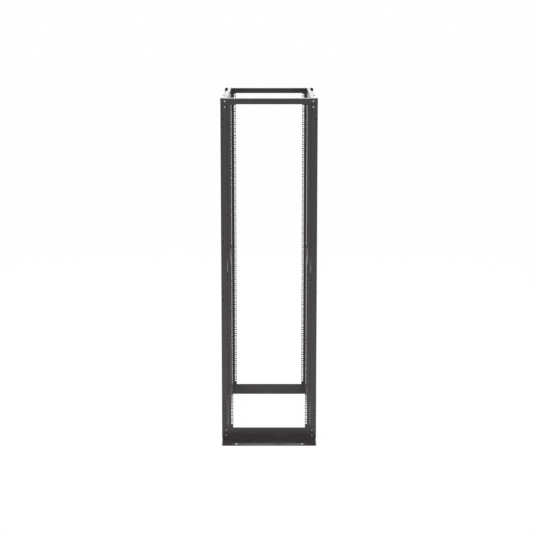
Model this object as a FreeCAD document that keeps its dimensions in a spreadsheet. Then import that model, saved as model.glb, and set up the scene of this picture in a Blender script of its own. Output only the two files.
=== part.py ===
import FreeCAD, Part
import os
import Sketcher

doc = FreeCAD.newDocument("open_frame_rack")
sheet = doc.addObject("Spreadsheet::Sheet", "Sizes")

# Sizes in millimetres. The formulas below them place one size from another.
sizes = {
    "rack_width": "591",
    "rack_height": "2133.6",
    "rack_depth": "1066.8",
    "post_flange": "36.8",
    "post_web": "100",
    "post_lip": "16",
    "lip_notch": "14",
    "post_sheet": "2.5",
    "post_bend": "4",
    "rail_flange": "29",
    "rail_depth": "88",
    "rail_sheet": "2",
    "rail_bend": "3.5",
    "rail_low": "20",
    "rail_drop": "9.6",
    "unit_pitch": "44.45",
    "unit_low": "92.7",
    "unit_drop": "38",
    "square_size": "9.5",
    "square_inset": "21.45",
    "square_edge": "6.35",
    "square_step": "15.875",
    "rung_width": "41.5",
    "rung_height": "70",
    "rung_sheet": "2.5",
    "rung_bend": "4",
    "rung_low": "6",
    "rung_sink": "76.8",
    "cope_width": "17",
    "cope_front": "255",
    "cope_rear": "335",
    "bracket_height": "64",
    "bracket_leg": "40",
    "bracket_sheet": "3",
    "beam_face": "35.8",
    "beam_flange": "38",
    "beam_sheet": "3",
    "beam_bend": "4",
    "beam_drop": "0.4",
    "beam_notch": "46",
    "base_inset": "0.5",
    "base_leg": "72",
    "base_flange": "158",
    "base_trim": "2.5",
    "base_sheet": "3.2",
    "base_bend": "4.2",
    "anchor_hole": "21",
    "anchor_spacing": "406.4",
    "anchor_reach": "122",
    "cable_hole": "8",
    "cable_hole_edge": "12.5",
    "cable_hole_pitch": "50.8",
    "cable_hole_rise": "26.2",
    "cable_hole_near": "182",
    "cable_hole_end": "179.8",
    "half_width": "=rack_width / 2",
    "post_face": "=rack_depth / 2",
    "rail_outer": "=half_width - rung_width",
    "rail_height": "=rack_height - rail_drop - rail_low",
    "unit_count": "=floor((rack_height - unit_drop - unit_low) / unit_pitch)",
    "cable_hole_middle": "=rack_height / 2 + cable_hole_rise",
    "cable_hole_far": "=rack_height / 2 - cable_hole_end",
    "rung_middle": "=rack_height / 2 - rung_sink",
    "rung_length": "=rack_depth - 2 * post_sheet",
    "bracket_face": "=rung_width - rung_sheet - cope_width",
    "base_width": "=rack_width - 2 * base_inset",
}
for row, (alias, value) in enumerate(sizes.items(), 1):
    sheet.set(f"A{row}", value)
    sheet.setAlias(f"A{row}", alias)
doc.recompute()

# Two points nearer than this are one corner.
same_spot = 0.0001


def value_of(text):
    return float(sheet.evalExpression(text))


def new_sketch(body, name, role):
    sketch = body.newObject("Sketcher::SketchObject", name)
    plane = next(item for item in body.Origin.OriginFeatures if item.Role == role)
    sketch.AttachmentSupport = [(plane, "")]
    sketch.MapMode = "FlatFace"
    return sketch


def pin(sketch, line, end, across, up):
    for kind, axis, text in (("DistanceX", -2, across), ("DistanceY", -1, up)):
        if text == "0":
            sketch.addConstraint(Sketcher.Constraint("PointOnObject", line, end, axis))
            continue
        rule = Sketcher.Constraint(kind, -1, 1, line, end, value_of(text))
        place = sketch.addConstraint(rule)
        sketch.setExpression(f"Constraints[{place}]", text)


def draw_outline(sketch, corners):
    first = sketch.GeometryCount
    points = [FreeCAD.Vector(value_of(across), value_of(up), 0) for across, up in corners]
    count = len(corners)
    for step in range(count):
        line = Part.LineSegment(points[step], points[(step + 1) % count])
        sketch.addGeometry(line, False)
    for step in range(count):
        following = first + (step + 1) % count
        rule = Sketcher.Constraint("Coincident", first + step, 2, following, 1)
        sketch.addConstraint(rule)
    for step, (across, up) in enumerate(corners):
        pin(sketch, first + step, 1, across, up)


def draw_circle(sketch, across, up, diameter):
    centre = FreeCAD.Vector(value_of(across), value_of(up), 0)
    size = value_of(diameter)
    ring = sketch.addGeometry(Part.Circle(centre, FreeCAD.Vector(0, 0, 1), size / 2), False)
    pin(sketch, ring, 3, across, up)
    place = sketch.addConstraint(Sketcher.Constraint("Diameter", ring, size))
    sketch.setExpression(f"Constraints[{place}]", diameter)


def new_body(label, place):
    body = doc.addObject("PartDesign::Body", label)
    body.Label = label
    for axis, text in zip("xyz", place):
        body.setExpression(f"Placement.Base.{axis}", text)
    return body


def pad_profile(body, role, corners, length, backwards=False):
    sketch = new_sketch(body, "profile", role)
    draw_outline(sketch, corners)
    pad = body.newObject("PartDesign::Pad", "section")
    pad.Profile = sketch
    pad.setExpression("Length", length)
    pad.Reversed = backwards
    doc.recompute()
    return pad


def round_bends(body, feature, role, outer, inner, radius, metal):
    # Outside of a bend takes the full radius, inside takes it less the metal.
    axes = {"XY_Plane": (0, 1), "XZ_Plane": (0, 2), "YZ_Plane": (1, 2)}[role]
    for corners, size in ((outer, radius), (inner, f"{radius} - {metal}")):
        spots = [(value_of(across), value_of(up)) for across, up in corners]
        names = []
        for number, edge in enumerate(feature.Shape.Edges, 1):
            ends = [vertex.Point for vertex in edge.Vertexes]
            for spot in spots:
                gaps = [abs(end[axes[k]] - spot[k]) for end in ends for k in (0, 1)]
                if max(gaps) < same_spot:
                    names.append(f"Edge{number}")
        fillet = body.newObject("PartDesign::Fillet", "bend")
        fillet.Base = (feature, names)
        fillet.setExpression("Radius", size)
        doc.recompute()
        feature = fillet
    return feature


def cut(body, sketch, depth=None):
    pocket = body.newObject("PartDesign::Pocket", "cut")
    pocket.Profile = sketch
    if depth:
        pocket.setExpression("Length", depth)
    else:
        pocket.Type = "ThroughAll"
        pocket.Midplane = True
    doc.recompute()
    return pocket


def mirrored(source, label, normal):
    copy = doc.addObject("Part::Mirroring", label)
    copy.Label = label
    copy.Source = source
    copy.Normal = normal
    return copy


across_ways = FreeCAD.Vector(1, 0, 0)
length_ways = FreeCAD.Vector(0, 1, 0)
nodes = []


def four_corners(body, name):
    right = mirrored(body, f"front_right_{name}", across_ways)
    nodes.extend([body, right])
    nodes.append(mirrored(body, f"rear_left_{name}", length_ways))
    nodes.append(mirrored(right, f"rear_right_{name}", length_ways))


# Posts are lipped channels, open towards the middle of the rack. The lip is cut back at both ends.
metal = "Sizes.post_sheet"
web_back = "Sizes.post_web"
web_inside = "Sizes.post_web - Sizes.post_sheet"
lip_start = "Sizes.post_web - Sizes.post_bend"
notch_heights = (
    ("0", "Sizes.lip_notch"),
    ("Sizes.rack_height - Sizes.lip_notch", "Sizes.rack_height"),
)


def new_post(end, start, depths, notch_depths):
    face, face_inside, lip_inside, lip = depths
    post = new_body(f"{end}_left_post", ("-Sizes.half_width", start, "0"))
    channel = [
        ("0", face),
        ("Sizes.post_flange", face),
        ("Sizes.post_flange", face_inside),
        (metal, face_inside),
        (metal, lip_inside),
        ("Sizes.post_lip", lip_inside),
        ("Sizes.post_lip", lip),
        ("0", lip),
    ]
    section = pad_profile(post, "XY_Plane", channel, "Sizes.rack_height")
    outer = [channel[0], channel[7]]
    inner = [channel[3], channel[4]]
    round_bends(post, section, "XY_Plane", outer, inner, "Sizes.post_bend", metal)
    notches = new_sketch(post, "lip_notches", "YZ_Plane")
    near, far = notch_depths
    for low, high in notch_heights:
        draw_outline(notches, [(near, low), (far, low), (far, high), (near, high)])
    cut(post, notches)
    return post


front_depths = ("0", metal, web_inside, web_back)
front_post = new_post("front", "-Sizes.post_face", front_depths, (lip_start, web_back))
rear_start = "Sizes.post_face - Sizes.post_web"
rear_depths = (web_back, web_inside, metal, "0")
rear_post = new_post("rear", rear_start, rear_depths, ("0", "Sizes.post_bend"))

# Cable managers hang from pairs of holes near the outer edges of the front posts.
cable_holes = new_sketch(front_post, "cable_holes", "XZ_Plane")
for side in "+-":
    for reach in ("near", "far"):
        for step in "+-":
            height = f"Sizes.cable_hole_middle {side} Sizes.cable_hole_{reach}"
            height = f"{height} {step} Sizes.cable_hole_pitch / 2"
            draw_circle(cable_holes, "Sizes.cable_hole_edge", height, "Sizes.cable_hole")
cut(front_post, cable_holes, "2 * Sizes.post_sheet")
nodes.extend([front_post, mirrored(front_post, "front_right_post", across_ways)])
nodes.extend([rear_post, mirrored(rear_post, "rear_right_post", across_ways)])

# Mounting rails are angles with the square holes of a rack unit repeated up the face.
rail = new_body("front_left_rail", ("-Sizes.rail_outer", "-Sizes.post_face", "Sizes.rail_low"))
metal = "Sizes.rail_sheet"
angle = [
    ("0", "0"),
    ("Sizes.rail_flange", "0"),
    ("Sizes.rail_flange", metal),
    (metal, metal),
    (metal, "Sizes.rail_depth"),
    ("0", "Sizes.rail_depth"),
]
section = pad_profile(rail, "XY_Plane", angle, "Sizes.rail_height")
round_bends(rail, section, "XY_Plane", [angle[0]], [angle[3]], "Sizes.rail_bend", metal)
squares = new_sketch(rail, "unit_holes", "XZ_Plane")
for step in range(3):
    column = "Sizes.square_inset"
    height = f"Sizes.unit_low - Sizes.rail_low + Sizes.square_edge + {step} * Sizes.square_step"
    reach = "Sizes.square_size / 2"
    corners = [
        (f"{column} - {reach}", f"{height} - {reach}"),
        (f"{column} + {reach}", f"{height} - {reach}"),
        (f"{column} + {reach}", f"{height} + {reach}"),
        (f"{column} - {reach}", f"{height} + {reach}"),
    ]
    draw_outline(squares, corners)
one_unit = cut(rail, squares, "2 * Sizes.rail_sheet")
units = rail.newObject("PartDesign::LinearPattern", "units")
units.Originals = [one_unit]
units.Direction = (squares, ["V_Axis"])
units.setExpression("Length", "(Sizes.unit_count - 1) * Sizes.unit_pitch")
units.setExpression("Occurrences", "Sizes.unit_count")
rail.Tip = units
four_corners(rail, "rail")

# Side rungs are channels open outwards, with the flanges coped to pass inside the posts.
rung_heights = {
    "bottom": "Sizes.rung_low",
    "middle": "Sizes.rung_middle",
    "top": "Sizes.rack_height - Sizes.rung_height",
}
metal = "Sizes.rung_sheet"
web_inside = "Sizes.rung_width - Sizes.rung_sheet"
top_inside = "Sizes.rung_height - Sizes.rung_sheet"
channel = [
    ("0", "0"),
    ("Sizes.rung_width", "0"),
    ("Sizes.rung_width", "Sizes.rung_height"),
    ("0", "Sizes.rung_height"),
    ("0", top_inside),
    (web_inside, top_inside),
    (web_inside, metal),
    ("0", metal),
]
cope_ends = (
    ("0", "Sizes.cope_front"),
    ("Sizes.rung_length - Sizes.cope_rear", "Sizes.rung_length"),
)
for level, height in rung_heights.items():
    start = "Sizes.post_sheet - Sizes.post_face"
    rung = new_body(f"left_{level}_rung", ("-Sizes.half_width", start, height))
    section = pad_profile(rung, "XZ_Plane", channel, "Sizes.rung_length", True)
    outer = [channel[1], channel[2]]
    inner = [channel[5], channel[6]]
    round_bends(rung, section, "XZ_Plane", outer, inner, "Sizes.rung_bend", metal)
    copes = new_sketch(rung, "copes", "XY_Plane")
    for near, far in cope_ends:
        corners = [("0", near), ("Sizes.cope_width", near), ("Sizes.cope_width", far), ("0", far)]
        draw_outline(copes, corners)
    cut(rung, copes)
    nodes.extend([rung, mirrored(rung, f"right_{level}_rung", across_ways)])

# Corner brackets tie the ends of the top and bottom rungs to the post flanges.
metal = "Sizes.bracket_sheet"
reach = "Sizes.bracket_face"
inside = "Sizes.bracket_face - Sizes.bracket_sheet"
angle = [
    ("0", "0"),
    (reach, "0"),
    (reach, "Sizes.bracket_leg"),
    (inside, "Sizes.bracket_leg"),
    (inside, metal),
    ("0", metal),
]
for level in ("bottom", "top"):
    place = (
        "Sizes.cope_width - Sizes.half_width",
        "Sizes.post_sheet - Sizes.post_face",
        f"{rung_heights[level]} + (Sizes.rung_height - Sizes.bracket_height) / 2",
    )
    bracket = new_body(f"front_left_{level}_bracket", place)
    pad_profile(bracket, "XY_Plane", angle, "Sizes.bracket_height")
    four_corners(bracket, f"{level}_bracket")

# Top beams are angles whose upper flange is notched to clear the rails and rungs.
metal = "Sizes.beam_sheet"
beam_height = "Sizes.beam_face"
under = "Sizes.beam_face - Sizes.beam_sheet"
place = (
    "-Sizes.half_width",
    "-Sizes.post_face - Sizes.beam_sheet",
    "Sizes.rack_height - Sizes.beam_drop - Sizes.beam_face",
)
beam = new_body("front_top_beam", place)
angle = [
    ("0", "0"),
    (metal, "0"),
    (metal, under),
    ("Sizes.beam_flange", under),
    ("Sizes.beam_flange", beam_height),
    ("0", beam_height),
]
section = pad_profile(beam, "YZ_Plane", angle, "Sizes.rack_width")
round_bends(beam, section, "YZ_Plane", [angle[5]], [angle[2]], "Sizes.beam_bend", metal)
notches = new_sketch(beam, "notches", "XY_Plane")
notch_ends = (
    ("0", "Sizes.beam_notch"),
    ("Sizes.rack_width - Sizes.beam_notch", "Sizes.rack_width"),
)
for near, far in notch_ends:
    corners = [
        (near, metal),
        (far, metal),
        (far, "Sizes.beam_flange"),
        (near, "Sizes.beam_flange"),
    ]
    draw_outline(notches, corners)
cut(beam, notches)
nodes.extend([beam, mirrored(beam, "rear_top_beam", length_ways)])

# Base angles stand on the floor outside the posts. The flange has the anchor holes, and its ends are trimmed.
metal = "Sizes.base_sheet"
front = "Sizes.base_flange"
inside = "Sizes.base_flange - Sizes.base_sheet"
place = (
    "Sizes.base_inset - Sizes.half_width",
    "-Sizes.post_face - Sizes.base_flange",
    "0",
)
base = new_body("front_base_angle", place)
angle = [
    ("0", "0"),
    (front, "0"),
    (front, "Sizes.base_leg"),
    (inside, "Sizes.base_leg"),
    (inside, metal),
    ("0", metal),
]
section = pad_profile(base, "YZ_Plane", angle, "Sizes.base_width")
round_bends(base, section, "YZ_Plane", [angle[1]], [angle[4]], "Sizes.base_bend", metal)
anchors = new_sketch(base, "anchors", "XY_Plane")
for side in "-+":
    column = f"Sizes.base_width / 2 {side} Sizes.anchor_spacing / 2"
    row = "Sizes.base_flange - Sizes.anchor_reach"
    draw_circle(anchors, column, row, "Sizes.anchor_hole")
cut(base, anchors)
trims = new_sketch(base, "flange_trims", "XY_Plane")
trim_end = "Sizes.base_flange - Sizes.base_bend"
for near, far in (("0", "Sizes.base_trim"), ("Sizes.base_width - Sizes.base_trim", "Sizes.base_width")):
    draw_outline(trims, [(near, "0"), (far, "0"), (far, trim_end), (near, trim_end)])
cut(base, trims)
nodes.extend([base, mirrored(base, "rear_base_angle", length_ways)])

doc.recompute()
for item in doc.Objects:
    if "Invalid" in item.State or "Error" in item.State:
        raise RuntimeError(f"{item.Label} did not build: {item.State}")
os.makedirs("parts", exist_ok=True)
for node in nodes:
    shape = node.Shape
    if not shape.isValid() or len(shape.Solids) != 1:
        raise RuntimeError(f"{node.Label} is not one sound solid")
    shape.exportStep(f"parts/{node.Label}.step")
    print(node.Label, round(shape.Volume / 1000.0, 1), "cm3")
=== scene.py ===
import math

import bmesh
import bpy
from mathutils import Matrix, Vector


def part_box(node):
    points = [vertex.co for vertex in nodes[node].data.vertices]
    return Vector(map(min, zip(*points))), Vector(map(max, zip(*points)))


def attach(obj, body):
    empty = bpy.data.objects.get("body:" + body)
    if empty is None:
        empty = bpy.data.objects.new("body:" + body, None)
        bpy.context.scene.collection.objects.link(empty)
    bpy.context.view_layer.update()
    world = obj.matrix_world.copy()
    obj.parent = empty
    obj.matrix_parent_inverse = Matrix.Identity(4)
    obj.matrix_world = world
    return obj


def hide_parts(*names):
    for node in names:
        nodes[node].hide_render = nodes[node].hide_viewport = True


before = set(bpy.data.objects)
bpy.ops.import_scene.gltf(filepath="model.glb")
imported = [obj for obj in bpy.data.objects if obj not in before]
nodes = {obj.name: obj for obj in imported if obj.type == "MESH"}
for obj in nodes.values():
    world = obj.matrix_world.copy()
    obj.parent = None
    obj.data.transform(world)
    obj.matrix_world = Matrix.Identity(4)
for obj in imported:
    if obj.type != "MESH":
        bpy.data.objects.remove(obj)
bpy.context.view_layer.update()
mm = 0.001
print("frame loaded:", len(nodes), "nodes")


def hexLinear(code):
    # sRGB hex to the linear values the shaders take
    channels = []
    for start in (1, 3, 5):
        part = int(code[start:start + 2], 16) / 255
        channels.append(part / 12.92 if part <= 0.04045 else ((part + 0.055) / 1.055) ** 2.4)
    return (*channels, 1.0)


def addNode(tree, kind, settings=None, inputs=None, links=None):
    node = tree.nodes.new(kind)
    for name, value in (settings or {}).items():
        setattr(node, name, value)
    for name, value in (inputs or {}).items():
        node.inputs[name].default_value = value
    for name, socket in (links or {}).items():
        tree.links.new(socket, node.inputs[name])
    return node


def newMaterial(name):
    material = bpy.data.materials.new(name)
    material.use_nodes = True
    material.node_tree.nodes.clear()
    return material, material.node_tree


def perMetre(sizeMm):
    # pattern scale for a real feature of that many millimetres
    return 1000.0 / sizeMm


noiseSpan = {"From Min": 0.3, "From Max": 0.7}  # where most of a noise pattern's values lie

# powder coat
# Mild steel, sprayed with black epoxy powder and baked: a soft even sheen, a faint ripple
# from the way the powder flows out, and thinner, paler coat along the sharp edges.
coat = {
    "colour": "#282225",
    "pale": "#302A2C",
    "edge": "#463F41",
    "ior": 1.5,
    "roughLow": 0.20,
    "roughHigh": 0.29,
    "cloudMm": 140.0,    # slow drift in the film's thickness
    "cloudDetail": 3.0,
    "rippleMm": 5.0,     # real ripple is about 1 mm, drawn coarser so that it shows
    "rippleDetail": 2.0,
    "rippleHigh": 0.00006,
    "rippleStrength": 0.6,
    "edgeMm": 0.5,
    "edgeSamples": 4,
    "thinFrom": 0.98,    # how far the rounded normal has turned where the coat starts to thin
    "thinTo": 0.75,
    "thinShare": 0.5,
}
coatSteel, tree = newMaterial("steelBlackPowderCoat")
place = addNode(tree, "ShaderNodeTexCoord")
cloud = addNode(tree, "ShaderNodeTexNoise",
                inputs={"Scale": perMetre(coat["cloudMm"]), "Detail": coat["cloudDetail"]},
                links={"Vector": place.outputs["Object"]})
ripple = addNode(tree, "ShaderNodeTexNoise",
                 inputs={"Scale": perMetre(coat["rippleMm"]), "Detail": coat["rippleDetail"]},
                 links={"Vector": place.outputs["Object"]})
drift = addNode(tree, "ShaderNodeMix", {"data_type": "RGBA"},
                {6: hexLinear(coat["colour"]), 7: hexLinear(coat["pale"])},
                {0: cloud.outputs["Fac"]})
surface = addNode(tree, "ShaderNodeNewGeometry")
rounded = addNode(tree, "ShaderNodeBevel", {"samples": coat["edgeSamples"]}, {"Radius": coat["edgeMm"] / 1000})
along = addNode(tree, "ShaderNodeVectorMath", {"operation": "DOT_PRODUCT"},
                links={0: surface.outputs["True Normal"], 1: rounded.outputs["Normal"]})
thin = addNode(tree, "ShaderNodeMapRange",
               inputs={"From Min": coat["thinFrom"], "From Max": coat["thinTo"], "To Max": coat["thinShare"]},
               links={"Value": along.outputs["Value"]})
film = addNode(tree, "ShaderNodeMix", {"data_type": "RGBA"}, {7: hexLinear(coat["edge"])},
               {0: thin.outputs["Result"], 6: drift.outputs[2]})
rough = addNode(tree, "ShaderNodeMapRange",
                inputs={**noiseSpan, "To Min": coat["roughLow"], "To Max": coat["roughHigh"]},
                links={"Value": cloud.outputs["Fac"]})
bump = addNode(tree, "ShaderNodeBump",
               inputs={"Strength": coat["rippleStrength"], "Distance": coat["rippleHigh"]},
               links={"Height": ripple.outputs["Fac"], "Normal": rounded.outputs["Normal"]})
coatShader = addNode(tree, "ShaderNodeBsdfPrincipled", inputs={"IOR": coat["ior"]},
                     links={"Base Color": film.outputs[2], "Roughness": rough.outputs["Result"],
                            "Normal": bump.outputs["Normal"]})
addNode(tree, "ShaderNodeOutputMaterial", links={"Surface": coatShader.outputs["BSDF"]})

# zinc
# Cold-headed steel, zinc plated and clear passivated: bright grey, lightly blurred reflections.
# The bolts near the floor take a darker, rougher copy of the plating: its darker colour is painted shade, for the
# dimmer light down there.
zincs = {
    "steelZincPlated": {
        "colour": "#D2D2D3", "dull": "#A6A6A7", "roughLow": 0.26, "roughHigh": 0.40,
        "grainMm": 2.5, "grainDetail": 3.0,
    },
    # darker copy for the bolts near the floor: its colours are painted shade
    "steelZincPaintedShade": {
        "colour": "#9C9C9E", "dull": "#6E6D6E", "roughLow": 0.38, "roughHigh": 0.55,
        "grainMm": 2.0, "grainDetail": 3.0,
    },
}
plated = {}
for name, zinc in zincs.items():
    plated[name], tree = newMaterial(name)
    place = addNode(tree, "ShaderNodeTexCoord")
    grain = addNode(tree, "ShaderNodeTexNoise",
                    inputs={"Scale": perMetre(zinc["grainMm"]), "Detail": zinc["grainDetail"]},
                    links={"Vector": place.outputs["Object"]})
    tone = addNode(tree, "ShaderNodeMix", {"data_type": "RGBA"},
                   {6: hexLinear(zinc["colour"]), 7: hexLinear(zinc["dull"])}, {0: grain.outputs["Fac"]})
    rough = addNode(tree, "ShaderNodeMapRange",
                    inputs={**noiseSpan, "To Min": zinc["roughLow"], "To Max": zinc["roughHigh"]},
                    links={"Value": grain.outputs["Fac"]})
    zincShader = addNode(tree, "ShaderNodeBsdfPrincipled", inputs={"Metallic": 1.0},
                         links={"Base Color": tone.outputs[2], "Roughness": rough.outputs["Result"]})
    addNode(tree, "ShaderNodeOutputMaterial", links={"Surface": zincShader.outputs["BSDF"]})

# black oxide
# Steel blackened in a hot salt bath and oiled: blue-black, a thin sheen, browner where the oil has dried.
oxide = {
    "colour": "#1E1F22",
    "dry": "#2B2624",
    "roughLow": 0.32,
    "roughHigh": 0.48,
    "patchMm": 4.0,
    "patchDetail": 4.0,
}
oxideSteel, tree = newMaterial("steelBlackOxide")
place = addNode(tree, "ShaderNodeTexCoord")
patch = addNode(tree, "ShaderNodeTexNoise",
                inputs={"Scale": perMetre(oxide["patchMm"]), "Detail": oxide["patchDetail"]},
                links={"Vector": place.outputs["Object"]})
tone = addNode(tree, "ShaderNodeMix", {"data_type": "RGBA"},
               {6: hexLinear(oxide["colour"]), 7: hexLinear(oxide["dry"])}, {0: patch.outputs["Fac"]})
rough = addNode(tree, "ShaderNodeMapRange",
                inputs={**noiseSpan, "To Min": oxide["roughLow"], "To Max": oxide["roughHigh"]},
                links={"Value": patch.outputs["Fac"]})
oxideShader = addNode(tree, "ShaderNodeBsdfPrincipled",
                      links={"Base Color": tone.outputs[2], "Roughness": rough.outputs["Result"]})
addNode(tree, "ShaderNodeOutputMaterial", links={"Surface": oxideShader.outputs["BSDF"]})
print("materials made")

for node in nodes.values():
    node.data.materials.clear()
    node.data.materials.append(coatSteel)


def ringOf(mesh, count, radius, height):
    points = []
    for step in range(count):
        angle = 2 * math.pi * step / count
        points.append(mesh.verts.new((radius * math.cos(angle), radius * math.sin(angle), height)))
    return points


def joinRings(mesh, lower, upper):
    count = len(lower)
    for step in range(count):
        after = (step + 1) % count
        mesh.faces.new((lower[step], lower[after], upper[after], upper[step]))


def turnedForm(mesh, profile, count):
    # rings of (radius, height) joined in order, closed at the first and the last
    rings = [ringOf(mesh, count, radius, height) for radius, height in profile]
    for lower, upper in zip(rings, rings[1:]):
        joinRings(mesh, lower, upper)
    mesh.faces.new(rings[-1])
    mesh.faces.new(list(reversed(rings[0])))


hexShape = {"points": 24, "cornerDrop": 0.8, "topShare": 0.93}


def hexForm(mesh, flats, low, high, chamfer):
    # six-sided head with its corners turned off at the top
    corner = flats / math.sqrt(3)
    points = hexShape["points"]
    rings = []
    for height in (low, high - chamfer):
        ring = []
        for step in range(points):
            angle = 2 * math.pi * step / points
            inSide = (angle + math.pi / 6) % (math.pi / 3) - math.pi / 6
            radius = flats / 2 / math.cos(inSide)
            drop = 0.0
            if height > low:
                drop = (radius - flats / 2) / (corner - flats / 2) * chamfer * hexShape["cornerDrop"]
            ring.append(mesh.verts.new((radius * math.cos(angle), radius * math.sin(angle), height - drop)))
        rings.append(ring)
    top = ringOf(mesh, points, flats / 2 * hexShape["topShare"], high)
    joinRings(mesh, rings[0], rings[1])
    joinRings(mesh, rings[1], top)
    mesh.faces.new(top)
    mesh.faces.new(list(reversed(rings[0])))


def finishMesh(mesh, name, material):
    bmesh.ops.recalc_face_normals(mesh, faces=mesh.faces[:])
    data = bpy.data.meshes.new(name)
    mesh.to_mesh(data)
    mesh.free()
    data.materials.append(material)
    return data


def addPiece(data, name, matrix=None):
    piece = bpy.data.objects.new(name, data)
    bpy.context.scene.collection.objects.link(piece)
    if matrix:
        piece.matrix_world = matrix
    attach(piece, "root")
    return piece


def seat(data, name, spot, outward):
    # stands a fastener on a face at spot, pointing along outward
    turn = Vector((0, 0, 1)).rotation_difference(Vector(outward)).to_matrix().to_4x4()
    addPiece(data, name, Matrix.Translation(Vector(spot)) @ turn)


# small flanged hex bolts through the beams, base angles and posts
cornerBolt = {
    "flats": 9.5,
    "head": 5.0,
    "flange": 5.3,
    "flangeEdge": 0.4,
    "flangeThick": 0.8,
    "flangeSlope": 0.3,
    "facets": 32,
    "chamfer": 0.9,
    "across": 0.2688,
    "baseAcross": 0.2680,
    "beamHeights": (2.1155,),
    "postHeights": (2.0809,),
    "baseHeights": (0.0562, 0.0219),
}
mesh = bmesh.new()
flange = cornerBolt["flange"] * mm
flangeTop = cornerBolt["flangeThick"] * mm
profile = [(flange, 0), (flange, cornerBolt["flangeEdge"] * mm), (flange - cornerBolt["flangeSlope"] * mm, flangeTop)]
turnedForm(mesh, profile, cornerBolt["facets"])
hexForm(mesh, cornerBolt["flats"] * mm, flangeTop, cornerBolt["head"] * mm, cornerBolt["chamfer"] * mm)
boltData = finishMesh(mesh, "hexBolt", plated["steelZincPlated"])
# the bolts near the floor get the darker plating copy, which paints shade onto them
lowBoltData = boltData.copy()
lowBoltData.name = "paintedShadeHexBolt"
lowBoltData.materials[0] = plated["steelZincPaintedShade"]

# hex nuts on the far side of the same bolts, with a stub of thread
cornerNut = {
    "flats": 10.0,
    "height": 5.0,
    "washer": 6.2,
    "washerThick": 1.2,
    "washerFacets": 32,
    "chamfer": 0.7,
    "stub": 2.6,
    "stubOut": 4.0,
    "stubFacets": 20,
    "threads": 4,
    "threadPitch": 1.0,
    "threadDeep": 0.4,
}
mesh = bmesh.new()
washer = cornerNut["washer"] * mm
thick = cornerNut["washerThick"] * mm
top = thick + cornerNut["height"] * mm
turnedForm(mesh, [(washer, 0), (washer, thick)], cornerNut["washerFacets"])
hexForm(mesh, cornerNut["flats"] * mm, thick, top, cornerNut["chamfer"] * mm)
stub = cornerNut["stub"] * mm
threadDeep = cornerNut["threadDeep"] * mm
threadPitch = cornerNut["threadPitch"] * mm
profile = []
for step in range(cornerNut["threads"]):
    height = top + step * threadPitch
    profile += [(stub, height), (stub + threadDeep, height + threadPitch / 2)]
profile.append((stub - threadDeep, top + cornerNut["stubOut"] * mm))
turnedForm(mesh, profile, cornerNut["stubFacets"])
nutData = finishMesh(mesh, "hexNut", plated["steelZincPlated"])
blackNutData = nutData.copy()
blackNutData.name = "blackHexNut"
blackNutData.materials[0] = oxideSteel

ends = {"front": -1, "rear": 1}
sides = {"left": -1, "right": 1}
sheets = {"post": 0.0025, "base": 0.0032, "bracket": 0.003, "rail": 0.002, "rung": 0.0025}
postLow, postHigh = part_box("front_left_post")
postFace = -postLow.y
beamFace = -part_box("front_top_beam")[0].y
baseFace = postFace + sheets["base"]
bracketBack = postFace - sheets["post"] - sheets["bracket"]
boltRows = [("beamHeights", beamFace, "across"), ("postHeights", postFace, "across"),
            ("baseHeights", baseFace, "baseAcross")]
for end, endSign in ends.items():
    for side, sideSign in sides.items():
        number = 0
        for heights, face, across in boltRows:
            for height in cornerBolt[heights]:
                number += 1
                spot = (sideSign * cornerBolt[across], endSign * face, height)
                bolt = lowBoltData if heights == "baseHeights" else boltData
                seat(bolt, f"{end}_{side}_corner_bolt_{number}", spot, (0, endSign, 0))
                spot = (sideSign * cornerBolt[across], endSign * bracketBack, height)
                seat(nutData, f"{end}_{side}_corner_nut_{number}", spot, (0, -endSign, 0))
print("corner bolts seated")

# folded tabs that carry the lip of each front post up towards its top
lipTab = {
    "lip": 16.0,
    "sheet": 2.5,
    "bend": 4.0,
    "depth": 100.0,
    "low": 14.0,     # down from the top of the post
    "high": 5.0,
    "steps": 6,
}


def lipSection():
    # plan of the lip and its bend, from the web's edge to the lip's free edge
    bend = lipTab["bend"]
    inner = bend - lipTab["sheet"]
    outside, inside = [], []
    for step in range(lipTab["steps"] + 1):
        angle = math.pi / 2 * step / lipTab["steps"]
        outside.append((bend - bend * math.cos(angle), bend * math.sin(angle) - bend))
        inside.append((bend - inner * math.cos(angle), inner * math.sin(angle) - bend))
    outside.append((lipTab["lip"], 0.0))
    inside.append((lipTab["lip"], -lipTab["sheet"]))
    return outside + list(reversed(inside))


for side, sideSign in sides.items():
    mesh = bmesh.new()
    rings = []
    for drop in (lipTab["low"], lipTab["high"]):
        ring = []
        for across, back in lipSection():
            x = sideSign * (-postLow.x - across * mm)
            y = (lipTab["depth"] + back) * mm - postFace
            ring.append(mesh.verts.new((x, y, postHigh.z - drop * mm)))
        rings.append(ring)
    joinRings(mesh, rings[0], rings[1])
    mesh.faces.new(rings[1])
    mesh.faces.new(list(reversed(rings[0])))
    name = f"front_{side}_lip_tab"
    tab = addPiece(finishMesh(mesh, name, coatSteel), name)
print("lip tabs placed")

# top side rungs, folded channels whose flanges are wide only between the copes
rung = {
    "sheet": 2.5,
    "bend": 4.0,
    "bendSteps": 5,
    "flange": 34.5,
    "cope": 21.1,
    "copeFront": 255.0,
    "copeRear": 378.0,
}


def rungSkin(high, inset):
    # across and up, from the top flange round the web to the bottom flange
    bend = rung["bend"]
    radius = bend - inset
    upper = []
    for step in range(rung["bendSteps"] + 1):
        angle = math.pi / 2 * (1 + step / rung["bendSteps"])
        upper.append((bend + radius * math.cos(angle), high - bend + radius * math.sin(angle)))
    lower = [(across, high - up) for across, up in reversed(upper)]
    return [(rung["cope"], high - inset)] + upper + lower + [(rung["cope"], inset)]


def joinStrips(mesh, one, other):
    for first, second, third, fourth in zip(one, one[1:], other[1:], other):
        mesh.faces.new((first, second, third, fourth))


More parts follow.
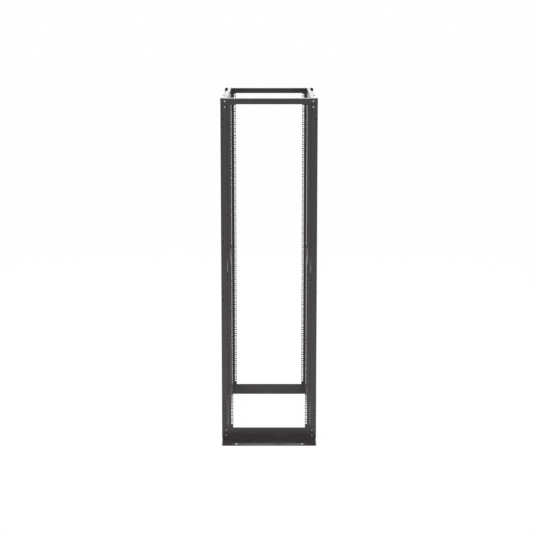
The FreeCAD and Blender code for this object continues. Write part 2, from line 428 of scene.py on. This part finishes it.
def rungMesh(sideSign, low, high):
    mesh = bmesh.new()
    sheet = rung["sheet"]
    tall = (high.z - low.z) / mm
    lengthEnd = (high.y - low.y) / mm
    stations = (0.0, rung["copeFront"], lengthEnd - rung["copeRear"], lengthEnd)
    webInner = min(abs(low.x), abs(high.x))

    def corner(across, length, up):
        x = sideSign * (webInner + across * mm)
        return mesh.verts.new((x, low.y + length * mm, low.z + up * mm))

    outer = [[corner(across, length, up) for across, up in rungSkin(tall, 0.0)] for length in stations]
    inner = [[corner(across, length, up) for across, up in rungSkin(tall, sheet)] for length in stations]
    for now in range(3):
        for skin in (outer, inner):
            joinStrips(mesh, skin[now], skin[now + 1])
    for cap in (0, 3):
        joinStrips(mesh, outer[cap], inner[cap])
    # free edges of the top and bottom flange, with the wide part between the copes
    for edge, outerUp, innerUp in ((0, tall, tall - sheet), (-1, 0.0, sheet)):
        for now in (0, 2):
            after = now + 1
            mesh.faces.new((outer[now][edge], outer[after][edge], inner[after][edge], inner[now][edge]))
        wideOuter = [corner(rung["flange"], length, outerUp) for length in stations[1:3]]
        wideInner = [corner(rung["flange"], length, innerUp) for length in stations[1:3]]
        mesh.faces.new((outer[1][edge], outer[2][edge], wideOuter[1], wideOuter[0]))
        mesh.faces.new((inner[1][edge], inner[2][edge], wideInner[1], wideInner[0]))
        mesh.faces.new((wideOuter[0], wideOuter[1], wideInner[1], wideInner[0]))
        for now in (1, 2):
            wide = now - 1
            mesh.faces.new((outer[now][edge], wideOuter[wide], wideInner[wide], inner[now][edge]))
    return mesh


for side, sideSign in sides.items():
    low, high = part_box(f"{side}_top_rung")
    name = f"{side}_top_rung_channel"
    channel = addPiece(finishMesh(rungMesh(sideSign, low, high), name, coatSteel), name)
    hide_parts(f"{side}_top_rung")
print("top rungs folded")

# closed clinch nuts pressed in behind the cable-manager holes of the front posts
managerNut = {
    "bore": 3.4,
    "mouth": 3.9,
    "outer": 5.8,
    "deep": 14.0,
    "tip": 5.0,
    "tipRadius": 0.1,
    "end": 21.0,
    "endTaper": 2.4,
    "plainMouth": 1.0,
    "threadPitch": 1.0,
    "threadDeep": 0.35,
    "facets": 24,
    "across": 0.2830,
    "middle": 1.0930,
    "reaches": (-0.887, -0.182, 0.182, 0.887),
    "halfPitch": 0.0254,
}
mesh = bmesh.new()
bore = managerNut["bore"] * mm
deep = managerNut["deep"] * mm
profile = [(managerNut["tipRadius"] * mm, (managerNut["deep"] + managerNut["tip"]) * mm), (bore, deep)]
turns = int((managerNut["deep"] - managerNut["plainMouth"]) / managerNut["threadPitch"])
for step in range(turns):
    height = (managerNut["deep"] - (step + 0.5) * managerNut["threadPitch"]) * mm
    profile += [(bore + managerNut["threadDeep"] * mm, height), (bore, height - managerNut["threadPitch"] / 2 * mm)]
outer = managerNut["outer"] * mm
profile += [(managerNut["mouth"] * mm, 0), (outer, 0), (outer, deep),
            (outer - managerNut["endTaper"] * mm, managerNut["end"] * mm)]
turnedForm(mesh, profile, managerNut["facets"])
managerNutData = finishMesh(mesh, "clinchNut", oxideSteel)
for side, sideSign in sides.items():
    number = 0
    for reach in managerNut["reaches"]:
        for rise in (-managerNut["halfPitch"], managerNut["halfPitch"]):
            number += 1
            spot = (sideSign * managerNut["across"], sheets["post"] - postFace, managerNut["middle"] + reach + rise)
            seat(managerNutData, f"front_{side}_manager_nut_{number}", spot, (0, 1, 0))
print("manager nuts seated")

# round-headed carriage bolts that hold the rails to the rungs, with black nuts
railBolt = {
    "radius": 9.0,
    "crown": 4.0,
    "rings": 7,
    "ringSpan": 6.5,     # a little more than the last ring, so that the crown ends in a small flat
    "facets": 28,
    "columns": (0.0274, 0.0674),
    "bracketReach": 0.04,
    "rise": 0.014,
}
mesh = bmesh.new()
profile = []
for step in range(railBolt["rings"]):
    angle = math.radians(90 * step / railBolt["ringSpan"])
    profile.append((railBolt["radius"] * mm * math.cos(angle), railBolt["crown"] * mm * math.sin(angle)))
turnedForm(mesh, profile, railBolt["facets"])
for face in mesh.faces:
    face.smooth = True
domeData = finishMesh(mesh, "carriageBolt", oxideSteel)
railInner = -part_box("front_left_rail")[0].x - sheets["rail"]
webBack = railInner + sheets["rail"] + sheets["rung"]
for end, endSign in ends.items():
    for side, sideSign in sides.items():
        for level in ("bottom", "middle", "top"):
            low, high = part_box(f"{side}_{level}_rung")
            centre = (low.z + high.z) / 2
            name = f"{end}_{side}_{level}_rail"
            number = 0
            for column in railBolt["columns"]:
                onBracket = level != "middle" and column < railBolt["bracketReach"]
                nutSeat = webBack + (sheets["bracket"] if onBracket else 0.0)
                y = endSign * (postFace - column)
                for rise in (-railBolt["rise"], railBolt["rise"]):
                    number += 1
                    z = centre + rise
                    seat(domeData, f"{name}_bolt_{number}", (sideSign * railInner, y, z), (-sideSign, 0, 0))
                    seat(blackNutData, f"{name}_nut_{number}", (sideSign * nutSeat, y, z), (sideSign, 0, 0))
print("rail bolts seated")

# studio
studio = {
    "world": 0.9,
    "floor": "#F2F2F2",
    "floorKeep": 0.07,
    "floorSize": 60.0,
    "floorDrop": 0.0005,
    "topPower": 170.0,
    "topSpot": (0, 0.3, 5.0),
    "topAim": (0, 0.3, 1.0),
    "topSize": (4.0, 4.0),
    "panelPower": 22.0,
    "panelSpot": (0, 7.0, 2.9),
    "panelAim": (0, 0, 2.1),
    "panelSize": (6.0, 1.6),
    "spotPower": 430.0,
    "spotAngle": 26,
    "spotSoft": 0.5,
    "spotOut": 3.0,
    "spotBack": -5.0,
    "spotHeight": 0.8,
    "spotAim": (0, 0.2, 0.1),
    "cool": "#E4F0FF",
    "sunPower": 0.42,
    "sunHeight": 33.0,
    "sunAngle": 10,
}


def seenRays(tree):
    # 1 for what the camera sees, directly, mirrored or through glass
    path = addNode(tree, "ShaderNodeLightPath")
    seen = addNode(tree, "ShaderNodeMath", {"operation": "MAXIMUM"},
                   links={0: path.outputs["Is Camera Ray"], 1: path.outputs["Is Glossy Ray"]})
    return addNode(tree, "ShaderNodeMath", {"operation": "MAXIMUM"},
                   links={0: seen.outputs[0], 1: path.outputs["Is Transmission Ray"]})


world = bpy.data.worlds.new("paleRoom")
bpy.context.scene.world = world
world.use_nodes = True
tree = world.node_tree
tree.nodes.clear()
strength = addNode(tree, "ShaderNodeMapRange", inputs={"To Min": studio["world"], "To Max": 1.0},
                   links={"Value": seenRays(tree).outputs[0]})
room = addNode(tree, "ShaderNodeBackground", inputs={"Color": (1, 1, 1, 1)},
               links={"Strength": strength.outputs["Result"]})
addNode(tree, "ShaderNodeOutputWorld", links={"Surface": room.outputs[0]})

# matt white paper sweep: shows as white, and keeps a little of the shadow
paper, tree = newMaterial("paperWhiteSweep")
share = addNode(tree, "ShaderNodeMapRange", inputs={"To Max": 1.0 - studio["floorKeep"]},
                links={"Value": seenRays(tree).outputs[0]})
matt = addNode(tree, "ShaderNodeBsdfDiffuse", inputs={"Color": hexLinear(studio["floor"])})
glow = addNode(tree, "ShaderNodeEmission", inputs={"Color": (1, 1, 1, 1), "Strength": 1.0})
both = addNode(tree, "ShaderNodeMixShader",
               links={0: share.outputs["Result"], 1: matt.outputs[0], 2: glow.outputs[0]})
addNode(tree, "ShaderNodeOutputMaterial", links={"Surface": both.outputs[0]})
mesh = bmesh.new()
bmesh.ops.create_grid(mesh, x_segments=1, y_segments=1, size=studio["floorSize"])
data = bpy.data.meshes.new("sweep")
mesh.to_mesh(data)
mesh.free()
data.materials.append(paper)
floor = bpy.data.objects.new("sweep", data)
floor.location = (0, 0, -studio["floorDrop"])
bpy.context.scene.collection.objects.link(floor)


def hang(name, lamp, spot, aim):
    # puts a lamp at spot and turns it to aim
    holder = bpy.data.objects.new(name, lamp)
    holder.location = spot
    holder.rotation_euler = (Vector(aim) - Vector(spot)).to_track_quat("-Z", "Y").to_euler()
    bpy.context.scene.collection.objects.link(holder)


for name, kind in (("topBox", "top"), ("rearPanel", "panel")):
    lamp = bpy.data.lights.new(name, "AREA")
    lamp.shape = "RECTANGLE"
    lamp.size, lamp.size_y = studio[f"{kind}Size"]
    lamp.energy = studio[f"{kind}Power"]
    hang(name, lamp, studio[f"{kind}Spot"], studio[f"{kind}Aim"])
for side, sideSign in sides.items():
    # one low spot from each side of the camera, for the foot of the rack
    name = f"{side}FootSpot"
    lamp = bpy.data.lights.new(name, "SPOT")
    lamp.energy = studio["spotPower"]
    lamp.color = hexLinear(studio["cool"])[:3]
    lamp.spot_size = math.radians(studio["spotAngle"])
    lamp.spot_blend = 1.0
    lamp.shadow_soft_size = studio["spotSoft"]
    hang(name, lamp, (sideSign * studio["spotOut"], studio["spotBack"], studio["spotHeight"]), studio["spotAim"])
lamp = bpy.data.lights.new("rearSun", "SUN")
lamp.energy = studio["sunPower"]
lamp.angle = math.radians(studio["sunAngle"])
sunHeight = math.radians(studio["sunHeight"])
hang("rearSun", lamp, (0, 0, 0), (0, -math.cos(sunHeight), -math.sin(sunHeight)))
print("studio lit")

# camera, worked out from the photograph's edges for a frame of 533 by 533
view = {
    "focalPixels": 1491.0,
    "frame": 533.0,
    "sensor": 36.0,
    "away": 9.5831,
    "height": 2.7350,
    "tilt": 10.02,
    "middleX": 269.06,
    "middleY": 260.71,
    "farClip": 200.0,
}
camera = bpy.data.cameras.new("photoView")
camera.sensor_width = view["sensor"]
camera.lens = view["focalPixels"] * view["sensor"] / view["frame"]
camera.shift_x = (view["frame"] / 2 - view["middleX"]) / view["frame"]
camera.shift_y = (view["middleY"] - view["frame"] / 2) / view["frame"]
camera.clip_end = view["farClip"]
holder = bpy.data.objects.new("photoView", camera)
holder.location = (0, -view["away"], view["height"])
holder.rotation_euler = (math.radians(90 - view["tilt"]), 0, 0)
bpy.context.scene.collection.objects.link(holder)
bpy.context.scene.camera = holder
bpy.context.scene.view_settings.view_transform = "Standard"
print("camera set")
